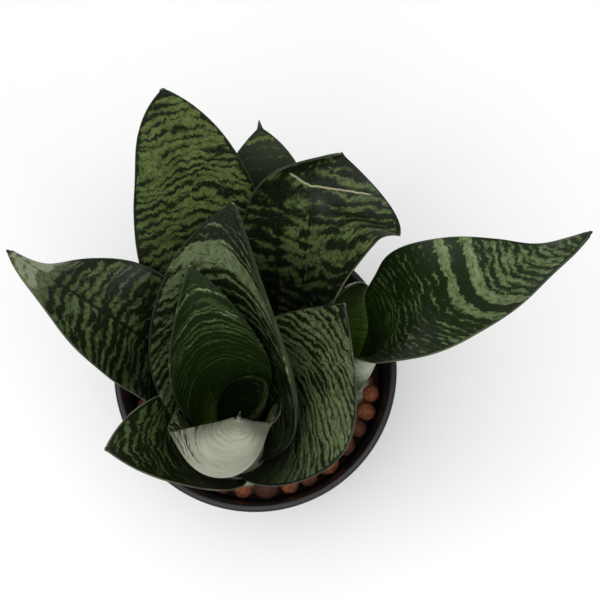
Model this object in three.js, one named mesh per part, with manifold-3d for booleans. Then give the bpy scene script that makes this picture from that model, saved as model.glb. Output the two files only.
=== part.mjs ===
// Potted superba snake plant: a rosette of broad banded leaves with one side shoot,
// growing in clay pebbles in a round black pot.
// Millimetres, +Z up. The origin is the middle of the pot's underside.
import * as THREE from 'three';
import { mergeVertices } from 'three/addons/utils/BufferGeometryUtils.js';
import Module from 'manifold-3d';

// Pot
const POT_HEIGHT = 115;
const POT_RIM_RADIUS = 65;
const POT_NECK_RADIUS = 62.6;
const POT_FOOT_RADIUS = 48;
const POT_WALL = 1.6;
const POT_FLOOR = 4;
const RIM_DEPTH = 6;
const RIM_EDGE = 1.2;
const FOOT_EDGE = 2;
const STANDING_RING = { inner: 36, outer: 44 };
const BASE_DISC_RADIUS = 22;
const RECESS = 1.2;
const POT_SIDES = 56;

// Pebbles
const GAP = 0.3;
const BED_TOP = 98.5;
const PEBBLE_SMALL = 8;
const PEBBLE_LARGE = 13;
const PEBBLE_RING_STEP = 10.2;
const PEBBLE_SINK = 0.1;
const PEBBLE_JITTER = 0.9;
const PEBBLE_CLEARANCE = 0.4;
const PEBBLE_SIDES = 7;
const PEBBLE_SEED = 2741;
const BED_SIDES = 48;

// Shoots: where each stands, how far it leans and toward which bearing.
// Bearings run counter-clockwise from +X.
const MAIN_SHOOT = {
  name: 'main', at: [-8, -34, 98], tilt: 15, toward: 90, crownRadius: 24.6, crownOffset: 5, crownHeight: 14,
};
const SIDE_SHOOT = {
  name: 'side', at: [44, -4, 98], tilt: 15, toward: 80, crownRadius: 9.4, crownOffset: 0, crownHeight: 12,
};
const HOLE_REACH = 40;
const CROWN_SIDES = 36;

// Leaf blades
const ROW_STEP = 8;
const COLUMNS = 8;
const FOOT_THICKNESS = 2;
const BLADE_THICKNESS = 2.2;
const EDGE_THICKNESS = 0.9;
const FOOT_FLARE = 1.2;
const TIP_TAPER = 2;
const TIP_ROUNDNESS = 0.9;
const FOLD_SPAN = 0.03;
const FLARE_POWER = 4;
const FINE_STEPS = 960;
const ARC_STEPS = 24;
const UP = new THREE.Vector3(0, 0, 1);

// Leaves. ring: distance of the foot from the shoot's axis. faces: bearing of the foot from that axis.
// lean: away from the axis. sway: toward the leaf's left. twist: of the blade about its midrib.
// cup: how far each side curls up. share: each side's width as a part of halfWidth.
// flare: how far each margin opens out again. fold: a crease across the blade, past which the tip hangs
// back. waves: how high each margin ripples.
// Lists run evenly from foot to tip. Left and right are as seen from the axis.
const LEAVES = [
  {
    name: 'leaf_youngest', shoot: MAIN_SHOOT, ring: 4.5, faces: 20, length: 80,
    halfWidth: 20, widestAt: 0.55, footShare: 0.66, taper: 2, roundness: 0.8,
    lean: [4, 7, 10, 0], sway: [0, 0, -4, -10], twist: [0, 2, 4, 10],
    cupLeft: [167, 140, 112, 70], cupRight: [167, 150, 122, 70],
  },
  {
    name: 'leaf_funnel_inner', shoot: MAIN_SHOOT, ring: 7, faces: 123, length: 147,
    halfWidth: 26.2, widestAt: 0.53, footShare: 0.42,
    lean: [6, 6, 3, 8, 20], sway: [0, 0, 1, -4], twist: [0, -7, -12, -11],
    cupLeft: [93, 84, 69, 56, 57], cupRight: [93, 87, 71, 66, 59],
  },
  {
    name: 'leaf_front_inner', shoot: MAIN_SHOOT, ring: 10, faces: 253, length: 125.5,
    halfWidth: 38.7, widestAt: 0.48, footShare: 0.45, taper: 1.8, roundness: 0.8,
    lean: [12, 17, 18, 28, 22, -6, -22, -39], sway: [0, 7, 10, 5, 3], twist: [1, 13, 19, 26, 21],
    cupLeft: [108, 120, 135, 140, 120, 96, 74], cupRight: [110, 118, 129, 130, 105, 110, 105],
    flareLeft: [16, 61, 120, 68, -50], flareRight: [6, 4, 67, 24, -50],
    shareLeft: [1, 1, 1, 1, 1.1], shareRight: [1, 1, 0.9, 0.9, 0.8],
  },
  {
    name: 'leaf_funnel_outer', shoot: MAIN_SHOOT, ring: 12.5, faces: 70, length: 170,
    halfWidth: 42, widestAt: 0.42, footShare: 0.56,
    lean: [0, 4, 5, 12, 23], sway: [0, 2, 5, 4], twist: [0, 9, 1, -12],
    cupLeft: [108, 94, 69, 51, 28], cupRight: [110, 102, 83, 65, 49],
    shareRight: [1.02, 1.08, 1.02, 0.95],
  },
  {
    name: 'leaf_front_right', shoot: MAIN_SHOOT, ring: 15, faces: 351, length: 129,
    halfWidth: 35, widestAt: 0.53, footShare: 0.6,
    lean: [11, 12, 11, 16, 15], sway: [0, 6, 11, 32], twist: [0, 22, 36, 26],
    cupLeft: [81, 72, 58, 42, 26], cupRight: [84, 50, 23, 1, 0],
    shareLeft: [1, 1, 0.97, 0.9], shareRight: [1.04, 1.01, 1.07, 1.08],
  },
  {
    name: 'leaf_front_left', shoot: MAIN_SHOOT, ring: 17.5, faces: 207, length: 90,
    halfWidth: 29, widestAt: 0.25, footShare: 0.8,
    lean: [10, 19, 32, 60], sway: [0, 1, 1, 3], twist: [0, -14, -26, -31],
    cupLeft: [76, 63, 50, 25], cupRight: [76, 59, 34, 10],
    shareLeft: [1, 1, 1, 1, 1.08, 1.2], shareRight: [1, 1, 1, 1, 1.06, 1.1],
  },
  {
    name: 'leaf_left', shoot: MAIN_SHOOT, ring: 20, faces: 150, length: 158,
    halfWidth: 24, widestAt: 0.56, footShare: 0.7,
    lean: [7, 14, 45, 90], sway: [0, 1, 10, -7], twist: [0, -5, 1, 45],
    cupLeft: [45, 34, 26, 17, 4], cupRight: [47, 42, 37, 9, -53],
    shareLeft: [0.95, 0.86, 0.97, 1.04], shareRight: [0.98, 1.04, 1.1, 1.12],
    waves: { left: 1, right: 2, count: 5 },
  },
  {
    name: 'leaf_back_right', shoot: MAIN_SHOOT, ring: 20, faces: 14, length: 165,
    halfWidth: 31, widestAt: 0.85, footShare: 0.55,
    lean: [9, 10, 16, 32], sway: [0, 16, 34, 44], twist: [0, 15, 23, 50],
    cupLeft: [48, 43, 38, 46, 72], cupRight: [48, 37, 34, 35, 25],
    shareLeft: [1, 0.97, 0.95, 0.93, 0.93, 0.93, 0.93, 0.93, 0.9, 0.79, 0.6],
    shareRight: [1, 0.85, 0.76, 0.78, 1.06, 1.5],
    fold: { at: 0.86, angle: 34 },
  },
  {
    name: 'leaf_back_left', shoot: MAIN_SHOOT, ring: 22.5, faces: 115, length: 187,
    halfWidth: 27, widestAt: 0.59, footShare: 0.65,
    lean: [5, 20, 25, 21], sway: [0, -9, -4, 3], twist: [0, -6, -13, -15],
    cupLeft: [46, 32, 14, 0, -13], cupRight: [45, 36, 22, 8, -4],
    shareLeft: [1, 1, 1, 1, 1, 1, 1, 0.975, 0.99, 1.15, 1.35],
    shareRight: [1, 1, 1, 1, 1, 1, 1, 1, 1.01, 1.06, 1.12],
    waves: { left: 2, right: 0, count: 4 },
  },
  {
    name: 'leaf_back_small', shoot: MAIN_SHOOT, ring: 25, faces: 98, length: 154,
    halfWidth: 34, widestAt: 0.43, footShare: 0.7,
    lean: [5, 20, 35, 58], sway: [0, -14, -13, 0], twist: [0, -5, -6, -3],
    cupLeft: [55, 35, 19, 6], cupRight: [55, 39, 23, 8],
    shareLeft: [1, 1, 1, 1, 1.03, 1.3], shareRight: [1, 1, 1, 1, 1.03, 1.3],
  },
  {
    name: 'side_leaf_sheath', shoot: SIDE_SHOOT, ring: 7.5, faces: 165, length: 90,
    halfWidth: 24, widestAt: 0.5, footShare: 0.6,
    lean: [6, 7, 0, -15], sway: [0, -5, -6, 5], twist: [0, -5, -14, -26],
    cupLeft: [113, 72, 29, -18], cupRight: [113, 86, 53, 19],
  },
  {
    name: 'side_leaf_long', shoot: SIDE_SHOOT, ring: 5, faces: 341, length: 175,
    halfWidth: 25, widestAt: 0.52, footShare: 0.28,
    lean: [10, 3, 26, 60, 74], sway: [0, -1, 21, 51], twist: [0, 8, 10, -29],
    cupLeft: [72, 47, 63, 21, -9],
    cupRight: [101, 98, 95, 94, 97, 62, 37, 26, 18, 15, 12],
    shareLeft: [0.88, 0.93, 0.98, 1.04, 1.1, 1.13, 1.12, 1.1, 0.99, 0.9, 1.3],
    shareRight: [1, 1.01, 1.04, 1.07, 1.09, 1.15, 1.15, 0.98, 1.05, 0.8, 0.75],
    waves: { left: 1.5, right: 2, count: 4 },
  },
];
const EVEN = [1];
const NONE = [0];

// Colours of the real surfaces
const LEAF_COLOUR = 0x4f6040;
const CROWN_COLOUR = 0xb9bfa2;
const PEBBLE_COLOUR = 0x8a5540;
const POT_COLOUR = 0x232325;

const wasm = await Module();
wasm.setup();

const radians = THREE.MathUtils.degToRad;

function finish(name, colour, roughness, geometry) {
  const material = new THREE.MeshStandardMaterial({ color: colour, roughness, metalness: 0 });
  const mesh = new THREE.Mesh(geometry, material);
  mesh.name = name;
  return mesh;
}

function toSolid(geometry) {
  const bare = geometry.clone();
  bare.deleteAttribute('normal');
  bare.deleteAttribute('uv');
  const merged = mergeVertices(bare, 1e-4);
  const vertProperties = new Float32Array(merged.attributes.position.array);
  const triVerts = new Uint32Array(merged.index.array);
  return new wasm.Manifold(new wasm.Mesh({ numProp: 3, vertProperties, triVerts }));
}

function toGeometry(solid) {
  const mesh = solid.getMesh();
  const geometry = new THREE.BufferGeometry();
  geometry.setAttribute('position', new THREE.BufferAttribute(new Float32Array(mesh.vertProperties), 3));
  geometry.setIndex(new THREE.BufferAttribute(new Uint32Array(mesh.triVerts), 1));
  return geometry;
}

// A solid of revolution about Z from [radius, height] points.
function turned(points, sides) {
  const outline = points.map(([r, z]) => new THREE.Vector2(r, z));
  return new THREE.LatheGeometry(outline, sides).rotateX(Math.PI / 2);
}

// Catmull-Rom through evenly spaced keys on 0..1.
function keyed(keys, s) {
  const last = keys.length - 1;
  if (last === 0) return keys[0];
  const x = Math.min(Math.max(s, 0), 1) * last;
  const i = Math.min(Math.floor(x), last - 1);
  const f = x - i;
  const at = (j) => keys[Math.min(Math.max(j, 0), last)];
  const [a, b, c, d] = [at(i - 1), at(i), at(i + 1), at(i + 2)];
  const startSlope = (c - a) / 2;
  const endSlope = (d - b) / 2;
  const f2 = f * f;
  const f3 = f2 * f;
  return (2 * f3 - 3 * f2 + 1) * b + (f3 - 2 * f2 + f) * startSlope
    + (3 * f2 - 2 * f3) * c + (f3 - f2) * endSlope;
}

// Degrees of extra lean past a leaf's crease.
function foldAt(leaf, s) {
  if (!leaf.fold) return 0;
  const { at, angle } = leaf.fold;
  return angle * THREE.MathUtils.smoothstep(s, at - FOLD_SPAN, at + FOLD_SPAN);
}

// Unit vectors of the blade at s, in the shoot's frame: along the midrib, to the leaf's left,
// and out of the face that looks at the axis.
function bladeFrame(leaf, s) {
  const lean = radians(keyed(leaf.lean, s) + foldAt(leaf, s));
  const sway = radians(keyed(leaf.sway, s));
  const twist = radians(keyed(leaf.twist, s));
  const along = new THREE.Vector3(
    Math.sin(lean) * Math.cos(sway), Math.sin(sway), Math.cos(lean) * Math.cos(sway));
  const left = new THREE.Vector3(
    -Math.sin(lean) * Math.sin(sway), Math.cos(sway), -Math.cos(lean) * Math.sin(sway));
  const face = new THREE.Vector3().crossVectors(along, left);
  left.applyAxisAngle(along, twist);
  face.applyAxisAngle(along, twist);
  return { along, left, face };
}

function halfWidthAt(leaf, s) {
  if (s < leaf.widestAt) {
    const rise = Math.sin((Math.PI / 2) * (s / leaf.widestAt)) ** FOOT_FLARE;
    return leaf.halfWidth * (leaf.footShare + (1 - leaf.footShare) * rise);
  }
  const x = (s - leaf.widestAt) / (1 - leaf.widestAt);
  const { taper = TIP_TAPER, roundness = TIP_ROUNDNESS } = leaf;
  return leaf.halfWidth * Math.max(1 - x ** taper, 0) ** roundness;
}

// Points of the cross section from the midrib to one margin: [sideways, toward the face].
function sectionArc(width, cup, flare, rise) {
  const arc = [[0, 0]];
  let x = 0;
  let h = 0;
  for (let k = 1; k <= ARC_STEPS; k += 1) {
    const middle = (k - 0.5) / ARC_STEPS;
    const angle = cup * middle - flare * middle ** FLARE_POWER;
    x += (Math.cos(angle) * width) / ARC_STEPS;
    h += (Math.sin(angle) * width) / ARC_STEPS;
    if (k % (ARC_STEPS / (COLUMNS / 2)) === 0) arc.push([x, h + rise * (k / ARC_STEPS) ** 2]);
  }
  return arc;
}

// One side of the cross section at s, 'Left' or 'Right', with that margin's wave.
function sideArc(leaf, side, s) {
  const width = halfWidthAt(leaf, s) * keyed(leaf[`share${side}`] ?? EVEN, s);
  const { count = 0, [side.toLowerCase()]: height = 0 } = leaf.waves ?? {};
  const rise = height * Math.sin(2 * Math.PI * count * s) * Math.sin(Math.PI * s);
  const cup = radians(keyed(leaf[`cup${side}`], s));
  const flare = radians(keyed(leaf[`flare${side}`] ?? NONE, s));
  return sectionArc(width, cup, flare, rise);
}

// The blade's middle surface as rows of points from the right margin to the left one.
function bladeRows(leaf, rows) {
  const faces = radians(leaf.faces);
  const point = new THREE.Vector3(leaf.ring, 0, 0);
  const grid = [];
  let walked = 0;
  for (let row = 0; row <= rows; row += 1) {
    const s = row / rows;
    while (walked < Math.round(s * FINE_STEPS)) {
      const step = bladeFrame(leaf, (walked + 0.5) / FINE_STEPS).along;
      point.addScaledVector(step, leaf.length / FINE_STEPS);
      walked += 1;
    }
    const { left, face } = bladeFrame(leaf, s);
    const place = ([x, h], side) => point.clone()
      .addScaledVector(left, side * x)
      .addScaledVector(face, h);
    const line = [
      ...sideArc(leaf, 'Right', s).slice(1).reverse().map((p) => place(p, -1)),
      ...sideArc(leaf, 'Left', s).map((p) => place(p, 1)),
    ];
    line.forEach((p) => p.applyAxisAngle(UP, faces));
    grid.push(line);
  }
  return grid;
}

// A closed blade: both faces, two margins, the cut foot and the point of the tip.
function leafGeometry(leaf) {
  const rows = Math.round(leaf.length / ROW_STEP);
  const grid = bladeRows(leaf, rows);
  const last = COLUMNS;
  const normalAt = (i, j) => {
    const ds = grid[Math.min(i + 1, rows)][j].clone().sub(grid[Math.max(i - 1, 0)][j]);
    const du = grid[i][Math.min(j + 1, last)].clone().sub(grid[i][Math.max(j - 1, 0)]);
    return ds.cross(du).normalize();
  };
  const positions = [];
  const faces = [];
  const add = (p) => positions.push(p.x, p.y, p.z) / 3 - 1;
  const inner = [];
  const outer = [];
  for (let i = 0; i < rows; i += 1) {
    inner.push([]);
    outer.push([]);
    for (let j = 0; j <= last; j += 1) {
      const across = Math.abs(j / (last / 2) - 1);
      const body = THREE.MathUtils.lerp(FOOT_THICKNESS, BLADE_THICKNESS, i / rows);
      const half = THREE.MathUtils.lerp(body, EDGE_THICKNESS, across ** 3 * Math.min(i / 3, 1)) / 2;
      const normal = normalAt(i, j);
      if (i === 0) normal.setZ(0).normalize();
      const top = grid[i][j].clone().addScaledVector(normal, half);
      const under = grid[i][j].clone().addScaledVector(normal, -half);
      if (i === 0) {
        top.z = 0;
        under.z = 0;
      }
      inner[i].push(add(top));
      outer[i].push(add(under));
    }
  }
  const tipNormal = normalAt(rows - 1, last / 2);
  const tip = grid[rows][last / 2];
  const tipTop = add(tip.clone().addScaledVector(tipNormal, EDGE_THICKNESS / 2));
  const tipUnder = add(tip.clone().addScaledVector(tipNormal, -EDGE_THICKNESS / 2));
  const quad = (a, b, c, d) => faces.push(a, b, c, a, c, d);
  for (let i = 0; i < rows - 1; i += 1) {
    for (let j = 0; j < last; j += 1) {
      const corners = [[i, j], [i + 1, j], [i + 1, j + 1], [i, j + 1]];
      const [a, b, c, d] = corners.map(([r, k]) => inner[r][k]);
      const [e, f, g, h] = corners.map(([r, k]) => outer[r][k]);
      quad(a, b, c, d);
      faces.push(e, g, f, e, h, g);
    }
    quad(outer[i][0], outer[i + 1][0], inner[i + 1][0], inner[i][0]);
    quad(inner[i][last], inner[i + 1][last], outer[i + 1][last], outer[i][last]);
  }
  const top = rows - 1;
  for (let j = 0; j < last; j += 1) {
    quad(inner[0][j], inner[0][j + 1], outer[0][j + 1], outer[0][j]);
    faces.push(inner[top][j], tipTop, inner[top][j + 1]);
    faces.push(outer[top][j], outer[top][j + 1], tipUnder);
  }
  quad(outer[top][0], tipUnder, tipTop, inner[top][0]);
  quad(inner[top][last], tipTop, tipUnder, outer[top][last]);
  const geometry = new THREE.BufferGeometry();
  geometry.setAttribute('position', new THREE.Float32BufferAttribute(positions, 3));
  geometry.setIndex(faces);
  return geometry;
}

// A shoot's frame: +Z along its axis, its origin where the leaves' feet stand on the crown.
function shootGroup(shoot) {
  const group = new THREE.Group();
  const toward = radians(shoot.toward);
  const hinge = new THREE.Vector3(-Math.sin(toward), Math.cos(toward), 0);
  group.quaternion.setFromAxisAngle(hinge, radians(shoot.tilt));
  group.position.set(...shoot.at);
  group.updateMatrixWorld(true);
  return group;
}

function crownGeometry(shoot) {
  const { crownRadius: radius, crownHeight: height, crownOffset } = shoot;
  const outline = [
    [0, -height], [radius - 3, -height], [radius, -height + 3], [radius, -GAP], [0, -GAP],
  ];
  return turned(outline, CROWN_SIDES).translate(0, crownOffset, 0);
}

// The plain hole in the pebbles that a shoot stands in.
function holeSolid(shoot, group) {
  const radius = shoot.crownRadius + GAP;
  const bottom = -shoot.crownHeight - GAP;
  const outline = [[0, bottom], [radius, bottom], [radius, HOLE_REACH], [0, HOLE_REACH]];
  const geometry = turned(outline, CROWN_SIDES).translate(0, shoot.crownOffset, 0);
  return toSolid(geometry.applyMatrix4(group.matrixWorld));
}

const potOuterRadius = (z) => THREE.MathUtils.lerp(
  POT_FOOT_RADIUS, POT_NECK_RADIUS, z / (POT_HEIGHT - RIM_DEPTH));
const potInnerRadius = (z) => potOuterRadius(z) - POT_WALL;

function potGeometry() {
  const neck = POT_HEIGHT - RIM_DEPTH;
  const outline = [
    [0, 0], [BASE_DISC_RADIUS, 0], [BASE_DISC_RADIUS + RECESS, RECESS],
    [STANDING_RING.inner - RECESS, RECESS], [STANDING_RING.inner, 0], [STANDING_RING.outer, 0],
    [POT_FOOT_RADIUS - FOOT_EDGE / 3, FOOT_EDGE / 3], [potOuterRadius(FOOT_EDGE), FOOT_EDGE],
    [potOuterRadius(neck - 1), neck - 1], [POT_RIM_RADIUS - RIM_EDGE / 2, neck],
    [POT_RIM_RADIUS, neck + RIM_EDGE], [POT_RIM_RADIUS, POT_HEIGHT - RIM_EDGE],
    [POT_RIM_RADIUS - RIM_EDGE / 2, POT_HEIGHT - RIM_EDGE / 4], [POT_RIM_RADIUS - RIM_EDGE, POT_HEIGHT],
    [potInnerRadius(POT_HEIGHT) + RIM_EDGE, POT_HEIGHT],
    [potInnerRadius(POT_HEIGHT - RIM_EDGE), POT_HEIGHT - RIM_EDGE],
    [potInnerRadius(POT_FLOOR + FOOT_EDGE), POT_FLOOR + FOOT_EDGE],
    [potInnerRadius(POT_FLOOR) - FOOT_EDGE, POT_FLOOR], [0, POT_FLOOR],
  ];
  return turned(outline, POT_SIDES);
}

// Repeatable random numbers in 0..1
function seededRandom(seed) {
  let state = seed;
  return () => {
    state = (state * 1664525 + 1013904223) % 4294967296;
    return state / 4294967296;
  };
}

// Pebbles laid in rings from the wall inward, each ring filled with balls of random size.
function pebbleSpots() {
  const random = seededRandom(PEBBLE_SEED);
  const draw = () => THREE.MathUtils.lerp(PEBBLE_SMALL, PEBBLE_LARGE, random());
  const spots = [];
  const outerRing = potInnerRadius(BED_TOP) - GAP - PEBBLE_LARGE / 2;
  for (let ring = outerRing; ring > 0; ring -= PEBBLE_RING_STEP) {
    const sizes = [];
    let used = 0;
    while (used < 2 * Math.PI * ring) {
      const size = draw();
      sizes.push(size);
      used += size;
    }
    let bearing = random() * 2 * Math.PI;
    sizes.forEach((size) => {
      const turn = (2 * Math.PI * size) / used;
      const toWall = ring === outerRing ? (PEBBLE_LARGE - size - PEBBLE_JITTER) / 2 : 0;
      const out = ring + toWall + (random() - 0.5) * PEBBLE_JITTER;
      const centre = new THREE.Vector3(
        out * Math.cos(bearing + turn / 2), out * Math.sin(bearing + turn / 2),
        BED_TOP - size * PEBBLE_SINK + (random() - 0.5) * PEBBLE_JITTER);
      spots.push({ centre, radius: size / 2 });
      bearing += turn;
    });
  }
  return spots;
}

// The triangles of a mesh that come down among the pebbles, in the plant's frame.
function lowTriangles(geometry, matrix) {
  const at = geometry.attributes.position;
  const order = geometry.index.array;
  const corner = (k) => new THREE.Vector3().fromBufferAttribute(at, order[k]).applyMatrix4(matrix);
  const triangles = [];
  for (let k = 0; k < order.length; k += 3) {
    const [a, b, c] = [corner(k), corner(k + 1), corner(k + 2)];
    if (Math.min(a.z, b.z, c.z) < BED_TOP + PEBBLE_LARGE) triangles.push(new THREE.Triangle(a, b, c));
  }
  return triangles;
}

// The fill of the pot with pebbles raised on its top, wherever no leaf comes down.
function bedGeometry(shootGroups, leafTriangles) {
  const floor = POT_FLOOR + FOOT_EDGE;
  const radiusAt = (z) => potInnerRadius(z) - GAP;
  const fill = toSolid(turned([
    [0, POT_FLOOR + GAP], [radiusAt(POT_FLOOR) - FOOT_EDGE, POT_FLOOR + GAP],
    [radiusAt(floor), floor + GAP], [radiusAt(BED_TOP), BED_TOP], [0, BED_TOP],
  ], BED_SIDES));
  const insidePot = toSolid(turned([
    [0, floor], [radiusAt(floor), floor], [radiusAt(POT_HEIGHT), POT_HEIGHT], [0, POT_HEIGHT],
  ], BED_SIDES));
  const nearest = new THREE.Vector3();
  const free = pebbleSpots().filter(({ centre, radius }) => leafTriangles.every((triangle) => {
    triangle.closestPointToPoint(centre, nearest);
    return nearest.distanceTo(centre) > radius + PEBBLE_CLEARANCE;
  }));
  const pebbles = free.map(({ centre, radius }) => toSolid(
    new THREE.SphereGeometry(radius, PEBBLE_SIDES, PEBBLE_SIDES - 2)
      .rotateX(Math.PI / 2).translate(centre.x, centre.y, centre.z)));
  let bed = pebbles.reduce((sum, ball) => sum.add(ball), fill).intersect(insidePot.add(fill));
  shootGroups.forEach(({ shoot, group }) => {
    bed = bed.subtract(holeSolid(shoot, group));
  });
  return toGeometry(bed);
}

const plant = new THREE.Group();
const shoots = [MAIN_SHOOT, SIDE_SHOOT].map((shoot) => ({ shoot, group: shootGroup(shoot) }));
const leafTriangles = [];

shoots.forEach(({ shoot, group }) => {
  group.add(finish(`${shoot.name}_crown`, CROWN_COLOUR, 0.6, crownGeometry(shoot)));
  LEAVES.filter((leaf) => leaf.shoot === shoot).forEach((leaf) => {
    const geometry = leafGeometry(leaf);
    group.add(finish(leaf.name, LEAF_COLOUR, 0.45, geometry));
    leafTriangles.push(...lowTriangles(geometry, group.matrixWorld));
  });
  plant.add(group);
});
plant.add(finish('pot', POT_COLOUR, 0.5, potGeometry()));
plant.add(finish('pebble_bed', PEBBLE_COLOUR, 0.95, bedGeometry(shoots, leafTriangles)));

export default plant;
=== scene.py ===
"""Potted superba snake plant: banded leaves, clay pebbles and a black pot, built round the fixed frame."""
import math

import bpy
import numpy as np
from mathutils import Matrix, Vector
from mathutils.bvhtree import BVHTree


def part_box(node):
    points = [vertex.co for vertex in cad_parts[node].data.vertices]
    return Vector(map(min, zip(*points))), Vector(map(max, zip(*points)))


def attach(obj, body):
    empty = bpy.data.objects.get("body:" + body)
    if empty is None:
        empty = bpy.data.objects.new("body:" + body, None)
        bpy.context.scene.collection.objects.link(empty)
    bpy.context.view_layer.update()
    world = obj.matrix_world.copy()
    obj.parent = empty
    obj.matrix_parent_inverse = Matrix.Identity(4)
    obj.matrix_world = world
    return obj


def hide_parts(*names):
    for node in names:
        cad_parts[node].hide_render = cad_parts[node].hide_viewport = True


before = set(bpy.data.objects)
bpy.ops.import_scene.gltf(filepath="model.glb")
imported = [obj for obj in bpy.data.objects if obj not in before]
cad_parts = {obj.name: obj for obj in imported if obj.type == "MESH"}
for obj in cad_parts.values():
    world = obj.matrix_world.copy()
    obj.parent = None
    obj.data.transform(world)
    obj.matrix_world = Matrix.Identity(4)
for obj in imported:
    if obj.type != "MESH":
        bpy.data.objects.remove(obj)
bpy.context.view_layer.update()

bl_info = {
    "name": "Potted superba snake plant",
    "version": (1, 0, 0),
    "blender": (4, 5, 0),
    "location": "View3D > Sidebar > Snake Plant",
    "description": "Makes the leaves, pebbles and pot of a superba snake plant in real size",
    "category": "Add Mesh",
}

MM = 0.001

# Pot, in mm: the height and the rim come from the frame. The band is the raised ring below the rim.
POT_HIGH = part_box("pot")[1]
POT_HEIGHT = POT_HIGH.z / MM
POT_RIM_RADIUS = POT_HIGH.x / MM
RIM_OVERHANG = 2.4
POT_NECK_RADIUS = POT_RIM_RADIUS - RIM_OVERHANG
POT_FOOT_RADIUS = 48
POT_WALL = 1.6
POT_FLOOR = 4
RIM_DEPTH = 6
STANDING_RING = (36, 44)
BASE_DISC_RADIUS = 22
RECESS = 1.2
FOOT_RISE = 1.8
FOOT_TURN = 6
BAND_REACH = 12
BAND_GAP = 1.5
BAND_STEP = 0.5
BAND_PROUD = 0.4
LIP_DEPTH = 2
POT_ROUNDING = 1.3
POT_SIDES = 192
CORNER_POINTS = 5
CORNER_SHARE = 0.45

# Pebbles, in mm: the same rule and the same draws as the solids that they replace. Each layer is as far in
# from the wall and as far down as its two numbers say.
GAP = 0.3
BED_TOP = 98.5
PEBBLE_SMALL = 8
PEBBLE_LARGE = 13
PEBBLE_RING_STEP = 10.2
PEBBLE_SINK = 0.1
PEBBLE_JITTER = 0.9
PEBBLE_CLEARANCE = 0.4
PEBBLE_LAYERS = ((0, 0), (5.1, 6.5), (1.2, 8.5))
PEBBLE_SEED = 2741
RANDOM_RULE = (1664525, 1013904223, 4294967296)
LUMP_SCALE = 230.0
FULL_TURN = 6.283
FILL_DROP = 10
FILL_LIFT = 0.5
FILL_BEVEL = 2

# Shoots: where each stands, how far it leans and toward which bearing, counter-clockwise from +X, and the
# size of its rootstock
MAIN_SHOOT = {"at": (-8, -34, 98), "tilt": 15, "toward": 90, "radius": 24.6, "height": 14, "offset": 5}
SIDE_SHOOT = {"at": (44, -4, 98), "tilt": 15, "toward": 80, "radius": 9.4, "height": 12, "offset": 0}

CROWN_SIDES = 72
CROWN_BEVEL = 3
CROWN_ROUNDING = 2.0

# Blades: how their outline rises and falls, how finely they are made, and the cork along a scar
FOOT_FLARE = 1.2
TIP_TAPER = 2
TIP_ROUNDNESS = 0.9
FOLD_SPAN = 0.03
FINE_STEPS = 960
ARC_STEPS = 24
FLARE_POWER = 4
CAP_POINTS = 3
TIP_ROW_STEP = 0.45
TIP_REACH = 9
CAP_INSET = 0.3
SHORT_SPINE = 0.9
SPINE_END = 0.04
SPINE_TAPER = 0.8
THICKEST_SHARE = 1.5
EVEN = (1,)
CORK_HEIGHT, CORK_WIDTH = 0.4, 0.8
GROOVE_DEPTH, GROOVE_BEYOND, GROOVE_WIDTH = 0.35, 2, 1.1
SCAR_OVERRUN, SCAR_FADE = 1, 3

# Pattern: midway between two dark lines it is about as light as MIDWAY says
MIDWAY = 0.3
ARCH_ROUNDING = 6.0
SWEEP_ROUNDING = 30.0
ROUGH_NOISE = {"detail": 3.0, "roughness": 0.65}

# Stage: the point that the camera looks at in mm, and each lamp's name, place and size in metres and share
# of the key light's power
VIEW_TARGET = (20.5, 32.0, 115.0)
SENSOR_WIDTH = 36
FLOOR_SIZE = 12
LAMPS = (("key", (-0.15, -0.1, 1.3), 1.1, 1), ("fill", (0.9, -0.9, 0.9), 1.0, 0.25))

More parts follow.
